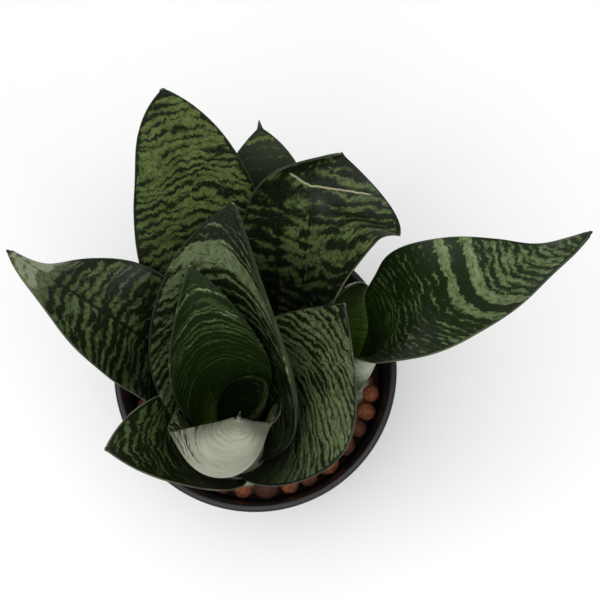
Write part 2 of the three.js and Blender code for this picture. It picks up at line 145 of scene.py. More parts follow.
# Leaves. ring: distance of the foot from the shoot's axis. faces: bearing of the foot from that axis.
# lean: away from the axis. sway: toward the leaf's left. twist: of the blade about its midrib.
# cup: how far each side curls up. flare: how far each margin opens out again. half_width: at the widest
# place, which widest_at gives as a share of the length. foot_share: the foot's part of that width. share:
# the same for each side all along. taper and roundness: how the outline closes toward the tip. fold: where
# and how far the blade is bent over. scar: a corky crease, at so far along and slanting beyond its knee.
# waves: height and number of waves along the margins. spine: length of the point at the tip.
# Sizes are in mm and angles in degrees. Lists run evenly from foot to tip. Left and right are as seen from
# the axis.
LEAVES = {
    "leaf_youngest": dict(
        shoot=MAIN_SHOOT, ring=4.5, faces=20, length=80, half_width=20, widest_at=0.55, foot_share=0.66,
        roundness=0.8, lean=(4, 7, 10, 0), sway=(0, 0, -4, -10), twist=(0, 2, 4, 10),
        cup_left=(167, 140, 112, 70), cup_right=(167, 150, 122, 70)),
    "leaf_funnel_inner": dict(
        shoot=MAIN_SHOOT, ring=7, faces=123, length=147, half_width=26.2, widest_at=0.53, foot_share=0.42,
        lean=(6, 6, 3, 8, 20), sway=(0, 0, 1, -4), twist=(0, -7, -12, -11), cup_left=(93, 84, 69, 56, 57),
        cup_right=(93, 87, 71, 66, 59)),
    "leaf_front_inner": dict(
        shoot=MAIN_SHOOT, ring=10, faces=253, length=125.5, half_width=38.7, widest_at=0.48, foot_share=0.45,
        taper=1.8, roundness=0.8, lean=(12, 17, 18, 28, 22, -6, -22, -39), sway=(0, 7, 10, 5, 3),
        twist=(1, 13, 19, 26, 21), cup_left=(108, 120, 135, 140, 120, 96, 74),
        cup_right=(110, 118, 129, 130, 105, 110, 105), flare_left=(16, 61, 120, 68, -50),
        flare_right=(6, 4, 67, 24, -50), share_left=(1, 1, 1, 1, 1.1), share_right=(1, 1, 0.9, 0.9, 0.8),
        spine=3.2),
    "leaf_funnel_outer": dict(
        shoot=MAIN_SHOOT, ring=12.5, faces=70, length=170, half_width=42, widest_at=0.42, foot_share=0.56,
        lean=(0, 4, 5, 12, 23), sway=(0, 2, 5, 4), twist=(0, 9, 1, -12), cup_left=(108, 94, 69, 51, 28),
        cup_right=(110, 102, 83, 65, 49), share_right=(1.02, 1.08, 1.02, 0.95)),
    "leaf_front_right": dict(
        shoot=MAIN_SHOOT, ring=15, faces=351, length=129, half_width=35, widest_at=0.53, foot_share=0.6,
        lean=(11, 12, 11, 16, 15), sway=(0, 6, 11, 32), twist=(0, 22, 36, 26), cup_left=(81, 72, 58, 42, 26),
        cup_right=(84, 50, 23, 1, 0), share_left=(1, 1, 0.97, 0.9), share_right=(1.04, 1.01, 1.07, 1.08)),
    "leaf_front_left": dict(
        shoot=MAIN_SHOOT, ring=17.5, faces=207, length=90, half_width=29, widest_at=0.25, foot_share=0.8,
        lean=(10, 19, 32, 60), sway=(0, 1, 1, 3), twist=(0, -14, -26, -31), cup_left=(76, 63, 50, 25),
        cup_right=(76, 59, 34, 10), share_left=(1, 1, 1, 1, 1.08, 1.2), share_right=(1, 1, 1, 1, 1.06, 1.1)),
    "leaf_left": dict(
        shoot=MAIN_SHOOT, ring=20, faces=150, length=158, half_width=24, widest_at=0.56, foot_share=0.7,
        lean=(7, 14, 45, 90), sway=(0, 1, 10, -7), twist=(0, -5, 1, 45), cup_left=(45, 34, 26, 17, 4),
        cup_right=(47, 42, 37, 9, -53), share_left=(0.95, 0.86, 0.97, 1.04),
        share_right=(0.98, 1.04, 1.1, 1.12), waves=dict(left=1, right=2, count=5)),
    "leaf_back_right": dict(
        shoot=MAIN_SHOOT, ring=20, faces=14, length=165, half_width=31, widest_at=0.85, foot_share=0.55,
        lean=(9, 10, 16, 32), sway=(0, 16, 34, 44), twist=(0, 15, 23, 50), cup_left=(48, 43, 38, 46, 72),
        cup_right=(48, 37, 34, 35, 25),
        share_left=(1, 0.97, 0.95, 0.93, 0.93, 0.93, 0.93, 0.93, 0.9, 0.79, 0.6),
        share_right=(1, 0.85, 0.76, 0.78, 1.06, 1.5), fold=dict(at=0.86, angle=34),
        scar=dict(at=146.4, knee=6, slope=0.37, half_length=18)),
    "leaf_back_left": dict(
        shoot=MAIN_SHOOT, ring=22.5, faces=115, length=187, half_width=27, widest_at=0.59, foot_share=0.65,
        lean=(5, 20, 25, 21), sway=(0, -9, -4, 3), twist=(0, -6, -13, -15), cup_left=(46, 32, 14, 0, -13),
        cup_right=(45, 36, 22, 8, -4), share_left=(1, 1, 1, 1, 1, 1, 1, 0.975, 0.99, 1.15, 1.35),
        share_right=(1, 1, 1, 1, 1, 1, 1, 1, 1.01, 1.06, 1.12), waves=dict(left=2, right=0, count=4)),
    "leaf_back_small": dict(
        shoot=MAIN_SHOOT, ring=25, faces=98, length=154, half_width=34, widest_at=0.43, foot_share=0.7,
        lean=(5, 20, 35, 58), sway=(0, -14, -13, 0), twist=(0, -5, -6, -3), spine=3.4,
        cup_left=(55, 35, 19, 6), cup_right=(55, 39, 23, 8), share_left=(1, 1, 1, 1, 1.03, 1.3),
        share_right=(1, 1, 1, 1, 1.03, 1.3)),
    "side_leaf_sheath": dict(
        shoot=SIDE_SHOOT, ring=7.5, faces=165, length=90, half_width=24, widest_at=0.5, foot_share=0.6,
        lean=(6, 7, 0, -15), sway=(0, -5, -6, 5), twist=(0, -5, -14, -26), cup_left=(113, 72, 29, -18),
        cup_right=(113, 86, 53, 19)),
    "side_leaf_long": dict(
        shoot=SIDE_SHOOT, ring=5, faces=341, length=175, half_width=25, widest_at=0.52, foot_share=0.28,
        lean=(10, 3, 26, 60, 74), sway=(0, -1, 21, 51), twist=(0, 8, 10, -29), cup_left=(72, 47, 63, 21, -9),
        cup_right=(101, 98, 95, 94, 97, 62, 37, 26, 18, 15, 12),
        share_left=(0.88, 0.93, 0.98, 1.04, 1.1, 1.13, 1.12, 1.1, 0.99, 0.9, 1.3),
        share_right=(1, 1.01, 1.04, 1.07, 1.09, 1.15, 1.15, 0.98, 1.05, 0.8, 0.75),
        waves=dict(left=1.5, right=2, count=4)),
}


def srgb(red, green, blue):
    """A linear colour from the 0 to 255 values of a swatch."""
    def linear(value):
        c = value / 255
        return c / 12.92 if c <= 0.04045 else ((c + 0.055) / 1.055) ** 2.4
    return (linear(red), linear(green), linear(blue), 1.0)


# Leaf finishes, sizes in mm. light, mid, dark and bright: the tones. young_green_and_glow: the tone of the
# plain foot, the young leaf's own green that on the inner leaves is raised as a painted glow of light shining
# through
# them. cover: how much of the blade is light. band: spacing of the dark cross lines. stretch: how quickly
# they change across the blade. zones: how far larger areas swing lighter and darker. arch: how steeply the
# lines fall toward the margins. sweep: the same for the right side alone, from a place across the blade.
# ragged, ripple and wander: how far small, middling and large waves carry the lines along the leaf. block:
# the width of patches whose lines are out of step with their neighbours', by shift. young: the share of the
# blade, from the foot, that is plain green. painted_foot_light: painted shade and glow toward the foot; the
# tones are times the first number up to the first place along the blade, and as they are from the second, so
# that a number below 1 paints shade deep in the rosette and one above 1 paints light shining through the
# blade. broken: how uneven the lines are. breaks: how often they are cut short. speckle: how rough their
# edges
# are. bars: single cross bands as (place along the blade, half width, strength), with gaps by bar_gaps.
# streaks: the same for streaks along the leaf, placed across it.
# dark_rim and dark_tip: reach of the dark green along the margins and at the tip. margin and margin_share:
# the edge's own colour and how much of it shows. cap: reach of the dry tip and its colour. back, back_line
# and back_cover: the underside, its fine lines and how much of it is pale. stain: from and to which place
# across the underside is striped, and how much.
PLAIN_LOOK = dict(
    light=srgb(80, 94, 50), mid=srgb(48, 60, 28), dark=srgb(11, 20, 4), bright=srgb(96, 110, 62),
    young_green_and_glow=srgb(36, 58, 10), cover=0.6, band=4.2, stretch=0.05, zones=0.05, breaks=0.09, broken=0.3,
    speckle=0.08, arch=0.3, ragged=2.4, ripple=7.0, wander=5.0, block=11.0, shift=0.9, young=0.15, bars=(),
    bar_gaps=0.3, streaks=(), sweep=(0, 0), stain=(0, -1, 0), dark_rim=2.0, dark_tip=5.0,
    margin=srgb(96, 102, 80), margin_share=0.5, painted_foot_light=(0.3, 20, 60), cap=(0.8, srgb(92, 90, 70)),
    back=srgb(112, 122, 96), back_line=srgb(60, 76, 42), back_cover=0.55)
LOOKS = {
    "leaf_youngest": dict(
        seed=3, cover=0.1, young=0.5, band=5, margin_share=0.0, dark=srgb(16, 30, 6), mid=srgb(26, 42, 12),
        painted_foot_light=(1, 0, 10), cap=(0.8, srgb(26, 40, 12)), young_green_and_glow=srgb(26, 44, 10)),
    "leaf_funnel_inner": dict(
        seed=11, light=srgb(60, 76, 38), mid=srgb(35, 52, 18), dark=srgb(19, 35, 8),
        bright=srgb(112, 126, 94), cover=0.3, young=0.3, band=5, arch=0.45, stretch=0.03, dark_rim=0.5,
        painted_foot_light=(1.7, 55, 118), young_green_and_glow=srgb(82, 102, 44), margin_share=0.05, ripple=4, block=16,
        bar_gaps=0.5,
        bars=((133.6, 0.7, 0.44), (121.5, 0.8, 0.44), (119, 0.7, 0.44), (112.5, 0.8, 0.4),
              (108.5, 0.7, 0.4), (104, 0.6, 0.36)), speckle=0.04, breaks=0.05),
    "leaf_front_inner": dict(
        seed=17, band=3.6, back=srgb(152, 154, 134), back_cover=0.92, arch=-0.4, young=0.1,
        light=srgb(136, 148, 104), cover=0.58, margin=srgb(130, 134, 114), ragged=1.2, ripple=3, stretch=0.03,
        back_line=srgb(94, 98, 82), stain=(-8, -21, 0.2), painted_foot_light=(0.9, 10, 40), mid=srgb(24, 34, 14)),
    "leaf_funnel_outer": dict(
        seed=23, light=srgb(97, 110, 76), mid=srgb(54, 66, 38), band=5.2, arch=0.15, cover=0.46, stretch=0.04,
        painted_foot_light=(0.95, 40, 100), bright=srgb(108, 122, 84), ripple=5, block=14,
        bars=((142, 4.6, 0.2), (158, 6, -0.06)), margin_share=0.1, dark_tip=16, sweep=(-1, -0.8), zones=0.08),
    "leaf_front_right": dict(
        seed=31, light=srgb(94, 107, 72), mid=srgb(50, 60, 34), band=4.0, stretch=0.04, young=0.26,
        ragged=1.6, ripple=5, dark_rim=1.0, painted_foot_light=(0.35, 30, 80), margin=srgb(120, 124, 104), margin_share=0.2,
        block=16, young_green_and_glow=srgb(44, 68, 18)),
    "leaf_front_left": dict(
        seed=37, cover=0.4, light=srgb(72, 86, 52), margin_share=0.7),
    "leaf_left": dict(
        seed=43, cover=0.45, band=4.6, light=srgb(76, 89, 54), stretch=0.06, bright=srgb(126, 132, 106),
        painted_foot_light=(0.14, 50, 130), cap=(4, srgb(30, 36, 22)), bars=((150, 13, 0.5),), streaks=((0, 0.7, -0.12),),
        ripple=4, ragged=1.8, block=14.0, bar_gaps=0.15, mid=srgb(42, 54, 26)),
    "leaf_back_right": dict(
        seed=53, cover=0.42, band=5.6, zones=0.1, broken=0.4, light=srgb(78, 92, 52), mid=srgb(39, 51, 23),
        painted_foot_light=(0.42, 102, 130), streaks=((14, 1.0, -0.07), (0.5, 0.8, -0.06), (25, 13, -0.08)), ripple=4,
        ragged=2.0, arch=0.0, sweep=(-2, 0.5), dark=srgb(9, 17, 3)),
    "leaf_back_left": dict(
        seed=61, cover=0.66, band=4.4, young=0.2, margin_share=0.25, painted_foot_light=(0.45, 80, 145),
        light=srgb(84, 98, 52)),
    "leaf_back_small": dict(
        seed=67, cover=0.0, band=5, young=0.4, light=srgb(72, 86, 32), mid=srgb(30, 42, 13),
        dark=srgb(21, 33, 8), dark_tip=8, ripple=2, shift=0.2, bars=((146.5, 0.8, 0.4), (141, 2, 0.05)),
        margin_share=0.3, cap=(3.4, srgb(52, 52, 44)), breaks=0.03, broken=0.2, speckle=0.05),
    "side_leaf_sheath": dict(
        seed=71, cover=0.3, young=0.9, back=srgb(214, 218, 200), back_line=srgb(150, 160, 134),
        back_cover=0.95, painted_foot_light=(1.35, 30, 60), young_green_and_glow=srgb(64, 90, 28), band=3),
    "side_leaf_long": dict(
        seed=79, cover=0.34, young=0.42, back=srgb(166, 174, 152), band=3.8, light=srgb(96, 110, 72),
        back_cover=0.8, painted_foot_light=(1.4, 30, 75), ripple=4, bright=srgb(112, 124, 90), young_green_and_glow=srgb(46, 72, 22),
        cap=(4, srgb(34, 38, 28)), bar_gaps=0.2,
        bars=((113, 2.2, 0.34), (124, 2.6, 0.34), (118.5, 1.8, -0.1), (104, 4, -0.05), (152, 24, 0.06)),
        arch=0.0, sweep=(-4, 1.1), dark=srgb(15, 29, 5), mid=srgb(40, 57, 22)),
}


class Graph:
    """Builds a tree's nodes with few words."""

    def __init__(self, tree):
        self.tree = tree

    def put(self, kind, inputs=(), **settings):
        node = self.tree.nodes.new(kind)
        for key, value in settings.items():
            setattr(node, key, value)
        for key, value in dict(inputs).items():
            self.feed(node.inputs[key], value)
        return node

    def feed(self, socket, value):
        if isinstance(value, bpy.types.NodeSocket):
            self.tree.links.new(value, socket)
        else:
            socket.default_value = value

    def math(self, operation, a, b=0.0, c=0.0):
        return self.put("ShaderNodeMath", {0: a, 1: b, 2: c}, operation=operation).outputs[0]

    def add(self, *values):
        total = values[0]
        for value in values[1:]:
            total = self.math("ADD", total, value)
        return total

    def minus(self, a, b):
        return self.math("SUBTRACT", a, b)

    def times(self, a, b, plus=None):
        if plus is None:
            return self.math("MULTIPLY", a, b)
        return self.math("MULTIPLY_ADD", a, b, plus)

    def dim(self, vector, share):
        """A colour or a direction times a share."""
        return self.put("ShaderNodeVectorMath", {0: vector, "Scale": share}, operation="SCALE").outputs[0]


class Skin(Graph):
    """A material, with the patterns and steps that colour it."""

    def __init__(self, name):
        self.material = bpy.data.materials.new(name)
        self.material.use_nodes = True
        super().__init__(self.material.node_tree)

    def attribute(self, name):
        return self.put("ShaderNodeAttribute", attribute_name=name).outputs["Fac"]

    def place(self):
        return self.put("ShaderNodeTexCoord").outputs["Object"]

    def stretched(self, place, sideways, upward):
        scale = (sideways, sideways, upward)
        return self.put("ShaderNodeMapping", {"Vector": place, "Scale": scale}).outputs[0]

    def vector(self, x, y, z=0.0):
        return self.put("ShaderNodeCombineXYZ", {0: x, 1: y, 2: z}).outputs[0]

    def cell(self, x, x_scale, y, y_scale, z):
        """A place in a pattern that is scaled differently across and along."""
        return self.vector(self.times(x, x_scale), self.times(y, y_scale), z)

    def noise(self, vector, scale=1.0, detail=2.0, roughness=0.5):
        inputs = {"Vector": vector, "Scale": scale, "Detail": detail, "Roughness": roughness}
        return self.put("ShaderNodeTexNoise", inputs).outputs["Fac"]

    def swing(self, vector, height, **noise):
        """Noise from about minus half to plus half of a height."""
        return self.times(self.noise(vector, **noise), height, -height / 2)

    def step(self, value, low, high, to_low=0.0, to_high=1.0):
        """Rises smoothly from one value to the other while the input goes from low to high."""
        inputs = {"Value": value, "From Min": low, "From Max": high, "To Min": to_low, "To Max": to_high}
        node = self.put("ShaderNodeMapRange", inputs, interpolation_type="SMOOTHSTEP")
        return node.outputs["Result"]

    def stripe(self, value, place, half, strength):
        """As strong as given within half a width of a place, and nothing beyond it."""
        off = self.math("ABSOLUTE", self.minus(value, place))
        return self.step(off, half * 1.3, half * 0.6, 0.0, strength)

    def mix(self, share, a, b):
        return self.put("ShaderNodeMix", {0: share, 6: a, 7: b}, data_type="RGBA").outputs[2]

    def tint(self, colour, other, value, low, high, share=1.0):
        """A colour that gives way to another while the value goes from low to high."""
        return self.mix(self.step(value, low, high, 0.0, share), colour, other)

    def bump(self, height, strength, distance):
        inputs = {"Height": height, "Strength": strength, "Distance": distance}
        return self.put("ShaderNodeBump", inputs).outputs["Normal"]

    def surface(self, **inputs):
        shader = self.tree.nodes["Principled BSDF"]
        for key, value in inputs.items():
            self.feed(shader.inputs[key.replace("_", " ")], value)
        return self.material


def keyed(keys, s):
    """Catmull-Rom through evenly spaced keys on 0..1."""
    keys = np.asarray(keys, float)
    last = len(keys) - 1
    if last == 0:
        return np.full(np.shape(s), keys[0])
    x = np.clip(s, 0, 1) * last
    i = np.minimum(x.astype(int), last - 1)
    f = x - i
    a, b, c, d = (keys[np.clip(i + shift, 0, last)] for shift in (-1, 0, 1, 2))
    slope_in, slope_out = (c - a) / 2, (d - b) / 2
    return ((2 * f**3 - 3 * f**2 + 1) * b + (f**3 - 2 * f**2 + f) * slope_in
            + (3 * f**2 - 2 * f**3) * c + (f**3 - f**2) * slope_out)


def smooth(x):
    x = np.clip(x, 0, 1)
    return x * x * (3 - 2 * x)


def blade_frame(leaf, s):
    """Unit vectors along the midrib, to the leaf's left and out of the face that looks at the axis."""
    fold = leaf.get("fold")
    extra = fold["angle"] * smooth((s - fold["at"]) / (2 * FOLD_SPAN) + 0.5) if fold else 0
    lean = np.radians(keyed(leaf["lean"], s) + extra)
    sway = np.radians(keyed(leaf["sway"], s))
    twist = np.radians(keyed(leaf["twist"], s))[:, None]
    along = np.stack([np.sin(lean) * np.cos(sway), np.sin(sway), np.cos(lean) * np.cos(sway)], -1)
    left = np.stack([-np.sin(lean) * np.sin(sway), np.cos(sway), -np.cos(lean) * np.sin(sway)], -1)
    face = np.cross(along, left)
    return (along, left * np.cos(twist) + face * np.sin(twist),
            face * np.cos(twist) - left * np.sin(twist))


def half_width(leaf, s):
    wide, low = leaf["widest_at"], leaf["foot_share"]
    rise = np.sin(np.pi / 2 * np.clip(s / wide, 0, 1)) ** FOOT_FLARE
    x = np.clip((s - wide) / (1 - wide), 0, 1)
    fall = (1 - x ** leaf.get("taper", TIP_TAPER)) ** leaf.get("roundness", TIP_ROUNDNESS)
    return leaf["half_width"] * np.where(s < wide, low + (1 - low) * rise, fall)


def side_arc(leaf, side, s, width, columns):
    """One side of each cross section: distances sideways, toward the face and the angle there."""
    cup, flare = (np.radians(keyed(leaf.get(key + side, (0,)), s))[:, None] for key in ("cup_", "flare_"))
    middle = (np.arange(ARC_STEPS) + 0.5) / ARC_STEPS
    angle = cup * middle - flare * middle**FLARE_POWER
    sideways, inward = (np.concatenate([0 * cup, np.cumsum(turn(angle), 1)], 1) / ARC_STEPS
                        for turn in (np.cos, np.sin))
    share = np.arange(columns + 1) / columns
    marks = np.arange(ARC_STEPS + 1) / ARC_STEPS
    sideways, inward = (np.array([np.interp(share, marks, row) for row in part]) * width[:, None]
                        for part in (sideways, inward))
    waves = leaf.get("waves", {})
    height = waves.get(side, 0) * np.sin(2 * np.pi * waves.get("count", 0) * s) * np.sin(np.pi * s)
    return sideways, inward + height[:, None] * share**2, cup * share - flare * share**FLARE_POWER


def blade_rows(leaf, blade):
    """How far along the midrib each row lies: even steps, then finer ones up to the tip."""
    length = leaf["length"]
    start = length - TIP_REACH
    body = np.linspace(0, start, max(4, round(start / (blade.row_step / MM))))
    return np.concatenate([body, np.arange(start + TIP_ROW_STEP, length, TIP_ROW_STEP), [length]])


def blade_sheet(leaf, blade):
    """The blade's middle surface, its normals and where each point lies on the blade, in mm."""
    reach = blade_rows(leaf, blade)
    s = reach / leaf["length"]
    fine = (np.arange(FINE_STEPS) + 0.5) / FINE_STEPS
    path = np.concatenate([[[0, 0, 0]], np.cumsum(blade_frame(leaf, fine)[0], 0)])
    path = path * leaf["length"] / FINE_STEPS
    marks = np.linspace(0, 1, FINE_STEPS + 1)
    midrib = np.stack([np.interp(s, marks, path[:, k]) for k in range(3)], -1) + (leaf["ring"], 0, 0)
    left, face = blade_frame(leaf, s)[1:]
    spine_length = leaf.get("spine", SHORT_SPINE)
    shoulder = leaf["length"] - spine_length
    past = (reach - shoulder) / spine_length
    spine = blade.spine_width / MM / 2 * np.clip(1 - past, SPINE_END, 1) ** SPINE_TAPER
    width = np.maximum(half_width(leaf, np.minimum(reach / shoulder, 1)), spine)
    half = blade.columns // 2
    parts = []
    for side, sign in (("right", -1), ("left", 1)):
        own = width * np.where(past > 0, 1, keyed(leaf.get("share_" + side, EVEN), s))
        x, h, angle = side_arc(leaf, side, s, own, half)
        points = midrib[:, None] + sign * x[..., None] * left[:, None] + h[..., None] * face[:, None]
        normal = face[:, None] * np.cos(angle)[..., None] - sign * left[:, None] * np.sin(angle)[..., None]
        across = own[:, None] * np.linspace(0, sign, half + 1)
        order = slice(None, 0, -1) if sign < 0 else slice(None)
        parts.append([part[:, order] for part in (points, normal, across)])
    return [np.concatenate(pair, 1) for pair in zip(*parts)] + [reach, width]


def rotation(axis, angle):
    x, y, z = axis
    cross = np.array([[0, -z, y], [z, 0, -x], [-y, x, 0]])
    return np.eye(3) + math.sin(angle) * cross + (1 - math.cos(angle)) * cross @ cross


def shoot_to_plant(shoot, points):
    """From the shoot's frame to the plant's frame in metres."""
    toward = math.radians(shoot["toward"])
    lean = rotation((-math.sin(toward), math.cos(toward), 0), math.radians(shoot["tilt"]))
    return (points @ lean.T + shoot["at"]) * MM


def to_plant(leaf, points):
    """From the shoot's frame, with the leaf facing +X, to the plant's frame in metres."""
    face = rotation((0, 0, 1), math.radians(leaf["faces"]))
    return shoot_to_plant(leaf["shoot"], points @ face.T)


def scar_lip(leaf, reach, across):
    """The raised corky lip along a crease that runs slantwise over the blade, in mm."""
    if "scar" not in leaf:
        return 0 * across
    scar = leaf["scar"]
    crease = scar["at"] + scar["slope"] * np.maximum(scar["knee"] - across, 0)
    beyond = reach[:, None] - crease
    fade = np.clip((scar["half_length"] + SCAR_OVERRUN - np.abs(across)) / SCAR_FADE, 0, 1)
    lip = CORK_HEIGHT * np.exp(-(beyond / CORK_WIDTH) ** 2)
    return fade * (lip - GROOVE_DEPTH * np.exp(-((beyond - GROOVE_BEYOND) / GROOVE_WIDTH) ** 2))


def smooth_mesh(name, points, faces):
    mesh = bpy.data.meshes.new(name)
    mesh.from_pydata(points, [], faces)
    mesh.shade_smooth()
    mesh.update()
    return mesh


def mark(mesh, key, values):
    """Gives each point of a mesh a number that materials or nodes can read."""
    values = np.asarray(values, np.float32).ravel()
    mesh.attributes.new(key, "FLOAT", "POINT").data.foreach_set("value", values)


def leaf_mesh(name, leaf, blade):
    """A closed blade with rounded margins; its attributes say where on the blade each point is."""
    sheet, normal, across, reach, width = blade_sheet(leaf, blade)
    count = sheet.shape[1]
    edge = np.abs(across) / np.maximum(np.abs(across).max(1, keepdims=True), 1e-6)
    body = np.interp(reach, (0, leaf["length"]), (blade.foot_thickness / MM, blade.thickness / MM))
    thick = body[:, None] + (blade.edge_thickness / MM - body[:, None]) * edge**3
    thick = np.minimum(thick, THICKEST_SHARE * width[:, None]) / 2
    sheet = sheet + normal * scar_lip(leaf, reach, across)[..., None]
    top = sheet + normal * thick[..., None]
    under = sheet - normal * thick[..., None]
    turns = np.pi * np.arange(1, CAP_POINTS + 1) / (CAP_POINTS + 1)
    margins = []
    for end, inner, around in ((-1, -2, turns), (0, 1, np.pi - turns)):
        outward = sheet[:, end] - sheet[:, inner]
        outward /= np.linalg.norm(outward, axis=1, keepdims=True) + 1e-9
        margins.append(sheet[:, end, None] + thick[:, end, None, None] * (
            normal[:, end, None] * np.cos(around)[:, None] + outward[:, None] * np.sin(around)[:, None]))
    ring = np.concatenate([top, margins[0], under[:, ::-1], margins[1]], 1)
    ring[0, :, 2] = -GAP
    rows, loop = ring.shape[:2]
    index = np.arange(rows * loop).reshape(rows, loop)
    after = np.roll(index, -1, 1)
    faces = np.stack([index[:-1], index[1:], after[1:], after[:-1]], -1).reshape(-1, 4).tolist()
    foot = index[0].tolist()
    faces += [(foot[j], foot[j + 1], foot[-CAP_POINTS - 2 - j], foot[-CAP_POINTS - 1 - j])
              for j in range(count - 1)]
    faces += [foot[count - 1:count + CAP_POINTS + 1], foot[-CAP_POINTS - 1:] + foot[:1],
              index[-1, ::-1].tolist()]
    mesh = smooth_mesh(name, to_plant(leaf, ring.reshape(-1, 3)).tolist(), faces)
    cap = np.ones((rows, CAP_POINTS))

    def all_round(upper, left, lower, right):
        return np.concatenate([upper, left * cap, lower, right * cap], 1)

    inset = np.abs(across).max(1, keepdims=True) - np.abs(across)
    mark(mesh, "across", all_round(across, across[:, -1:], across[:, ::-1], across[:, :1]))
    mark(mesh, "along", np.repeat(reach[:, None], loop, 1))
    mark(mesh, "inset", all_round(inset, -CAP_INSET, inset[:, ::-1], -CAP_INSET))
    mark(mesh, "back", all_round(0 * edge, 0.5, 1 + 0 * edge, 0.5))
    return mesh


def shaded(colour, share):
    return tuple(share * c for c in colour[:3]) + (1.0,)


def band_value(g, look, length, across, along, inset):
    """How light the pattern is at each point, from about 0 on the dark cross lines, and its own level."""
    seed, band, stretch, broken = (look[key] for key in ("seed", "band", "stretch", "broken"))
    wander = g.swing(g.vector(across, along, seed), look["wander"], scale=0.03)
    away = g.math("SQRT", g.times(across, across, ARCH_ROUNDING**2))
    arch = g.times(away, look["arch"], -ARCH_ROUNDING * look["arch"])
    ripple = g.swing(g.cell(across, 0.13, along, 0.06, seed + 7.0), look["ripple"], detail=1.0)
    ragged = g.swing(g.cell(across, 0.5, along, 0.14, seed + 4.0), look["ragged"] * 2, **ROUGH_NOISE)
    first, slope = look["sweep"]
    beyond = g.minus(across, first)
    bent = g.minus(beyond, g.math("SQRT", g.times(beyond, beyond, SWEEP_ROUNDING)))
    level = g.add(along, wander, arch, g.times(bent, 0.5 * slope), ripple, ragged)
    drift = g.swing(g.cell(across, 0.7 * stretch, level, 0.2 / band, seed + 12.0), 3.0)
    patches = g.cell(across, 1.0 / look["block"], level, 0.45 / band, seed + 30.0)
    block = g.put("ShaderNodeTexVoronoi", {"Vector": patches, "Scale": 1.0}).outputs["Color"]
    phase = g.add(g.times(level, 1.0 / band, drift), g.times(block, look["shift"]))
    even = g.math("PINGPONG", phase, 0.5)
    field = g.noise(g.cell(across, stretch, level, 0.5 / band, seed + 9.0), detail=3.0, roughness=0.6)
    loose = g.math("ABSOLUTE", g.times(field, 2.0, -1.0))
    breaks = g.swing(g.cell(across, 2.2 * stretch, level, 0.8 / band, seed + 20.0), look["breaks"] * 4)
    zones = g.swing(g.cell(across, 0.5 * stretch, level, 0.12 / band, seed + 15.0), look["zones"] * 4,
                    detail=1.0)
    speckle = g.swing(g.cell(across, 0.4, level, 0.65, seed + 2.0), look["speckle"] * 4, **ROUGH_NOISE)
    value = g.add(g.times(even, 0.6 * (1 - broken)), g.times(loose, broken), breaks, zones, speckle)
    for place, half, strength in look["bars"]:
        whole = g.noise(g.cell(across, 0.16, along, 0.2, seed + place))
        whole = g.step(whole, 0.38, 0.5, 1 - look["bar_gaps"], 1.0)
        value = g.add(value, g.times(g.stripe(level, place, half, strength), whole))
    for place, half, strength in look["streaks"]:
        value = g.add(value, g.stripe(across, place, half, strength))
    rim = g.step(inset, look["dark_rim"], 0.0, 0.0, 0.2)
    tip = g.step(along, length - look["dark_tip"], length - 0.2 * look["dark_tip"], 0.0, 0.2)
    return g.minus(value, g.add(rim, tip)), level


def scarred(g, scar, across, along, colour):
    """The colour with a pale corky line along the crease and a painted shadow, a dark line, just beyond it.
    """
    rise = g.math("MAXIMUM", g.minus(scar["knee"], across), 0.0)
    crease = g.minus(g.minus(along, scar["at"]), g.times(rise, scar["slope"]))
    crease = g.add(crease, g.swing(g.vector(g.times(across, 0.25), 0.0, 5.0), 1.6))
    inside = g.step(g.math("ABSOLUTE", across), scar["half_length"] + 1.5, scar["half_length"] - 1.0)
    # Painted shadow: a dark line in the groove just beyond the crease.
    shadow = g.times(g.step(crease, 0.2, 0.7), g.step(crease, 2.4, 1.2))
    colour = g.mix(g.times(g.times(shadow, inside), 0.75), colour, srgb(14, 20, 10))
    cork = g.times(g.step(crease, -0.6, -0.2), g.step(crease, 0.45, 0.1))
    return g.mix(g.times(g.times(cork, inside), 0.85), colour, srgb(152, 150, 118))


